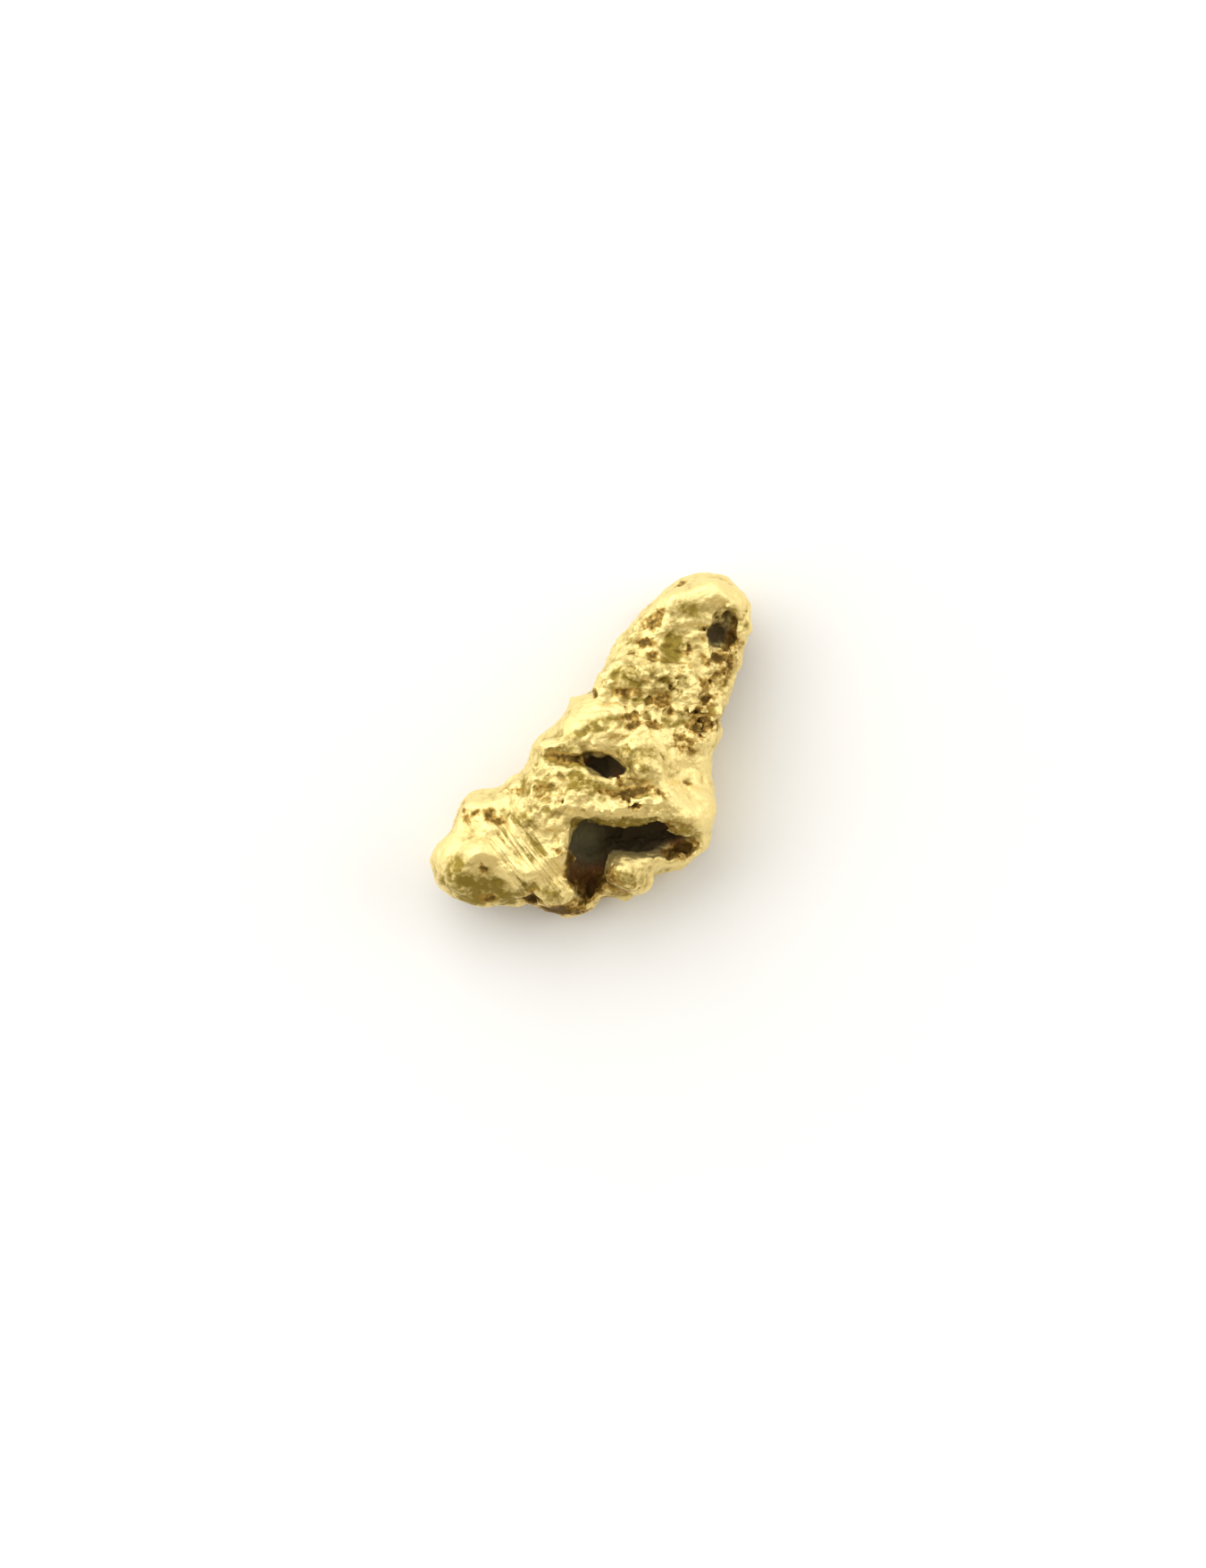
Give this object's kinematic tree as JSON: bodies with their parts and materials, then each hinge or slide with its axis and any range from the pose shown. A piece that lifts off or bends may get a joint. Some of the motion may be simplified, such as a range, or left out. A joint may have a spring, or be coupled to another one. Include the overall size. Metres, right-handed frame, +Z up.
{
  "type": "gold nugget",
  "caption": "Small river-worn gold nugget: a lumpy solid with a tapering horn, a smooth toe, ledges, pits and a deep hollow.",
  "frame": {"origin": "under the middle of the nugget's box, on the surface that it lies on", "axes": "+Z up through the nugget's thinnest way, +Y from the foot towards the tip of the horn, +X from the toe towards the hip"},
  "size_m": [0.0054, 0.0058, 0.0025],
  "materials": {
    "native_gold": "native gold, river-worn to a satin, with brown iron stain in the pits and dark dirt in the hollow"
  },
  "bodies": {
    "root": {"nugget": "native_gold"}
  },
  "joints": []
}
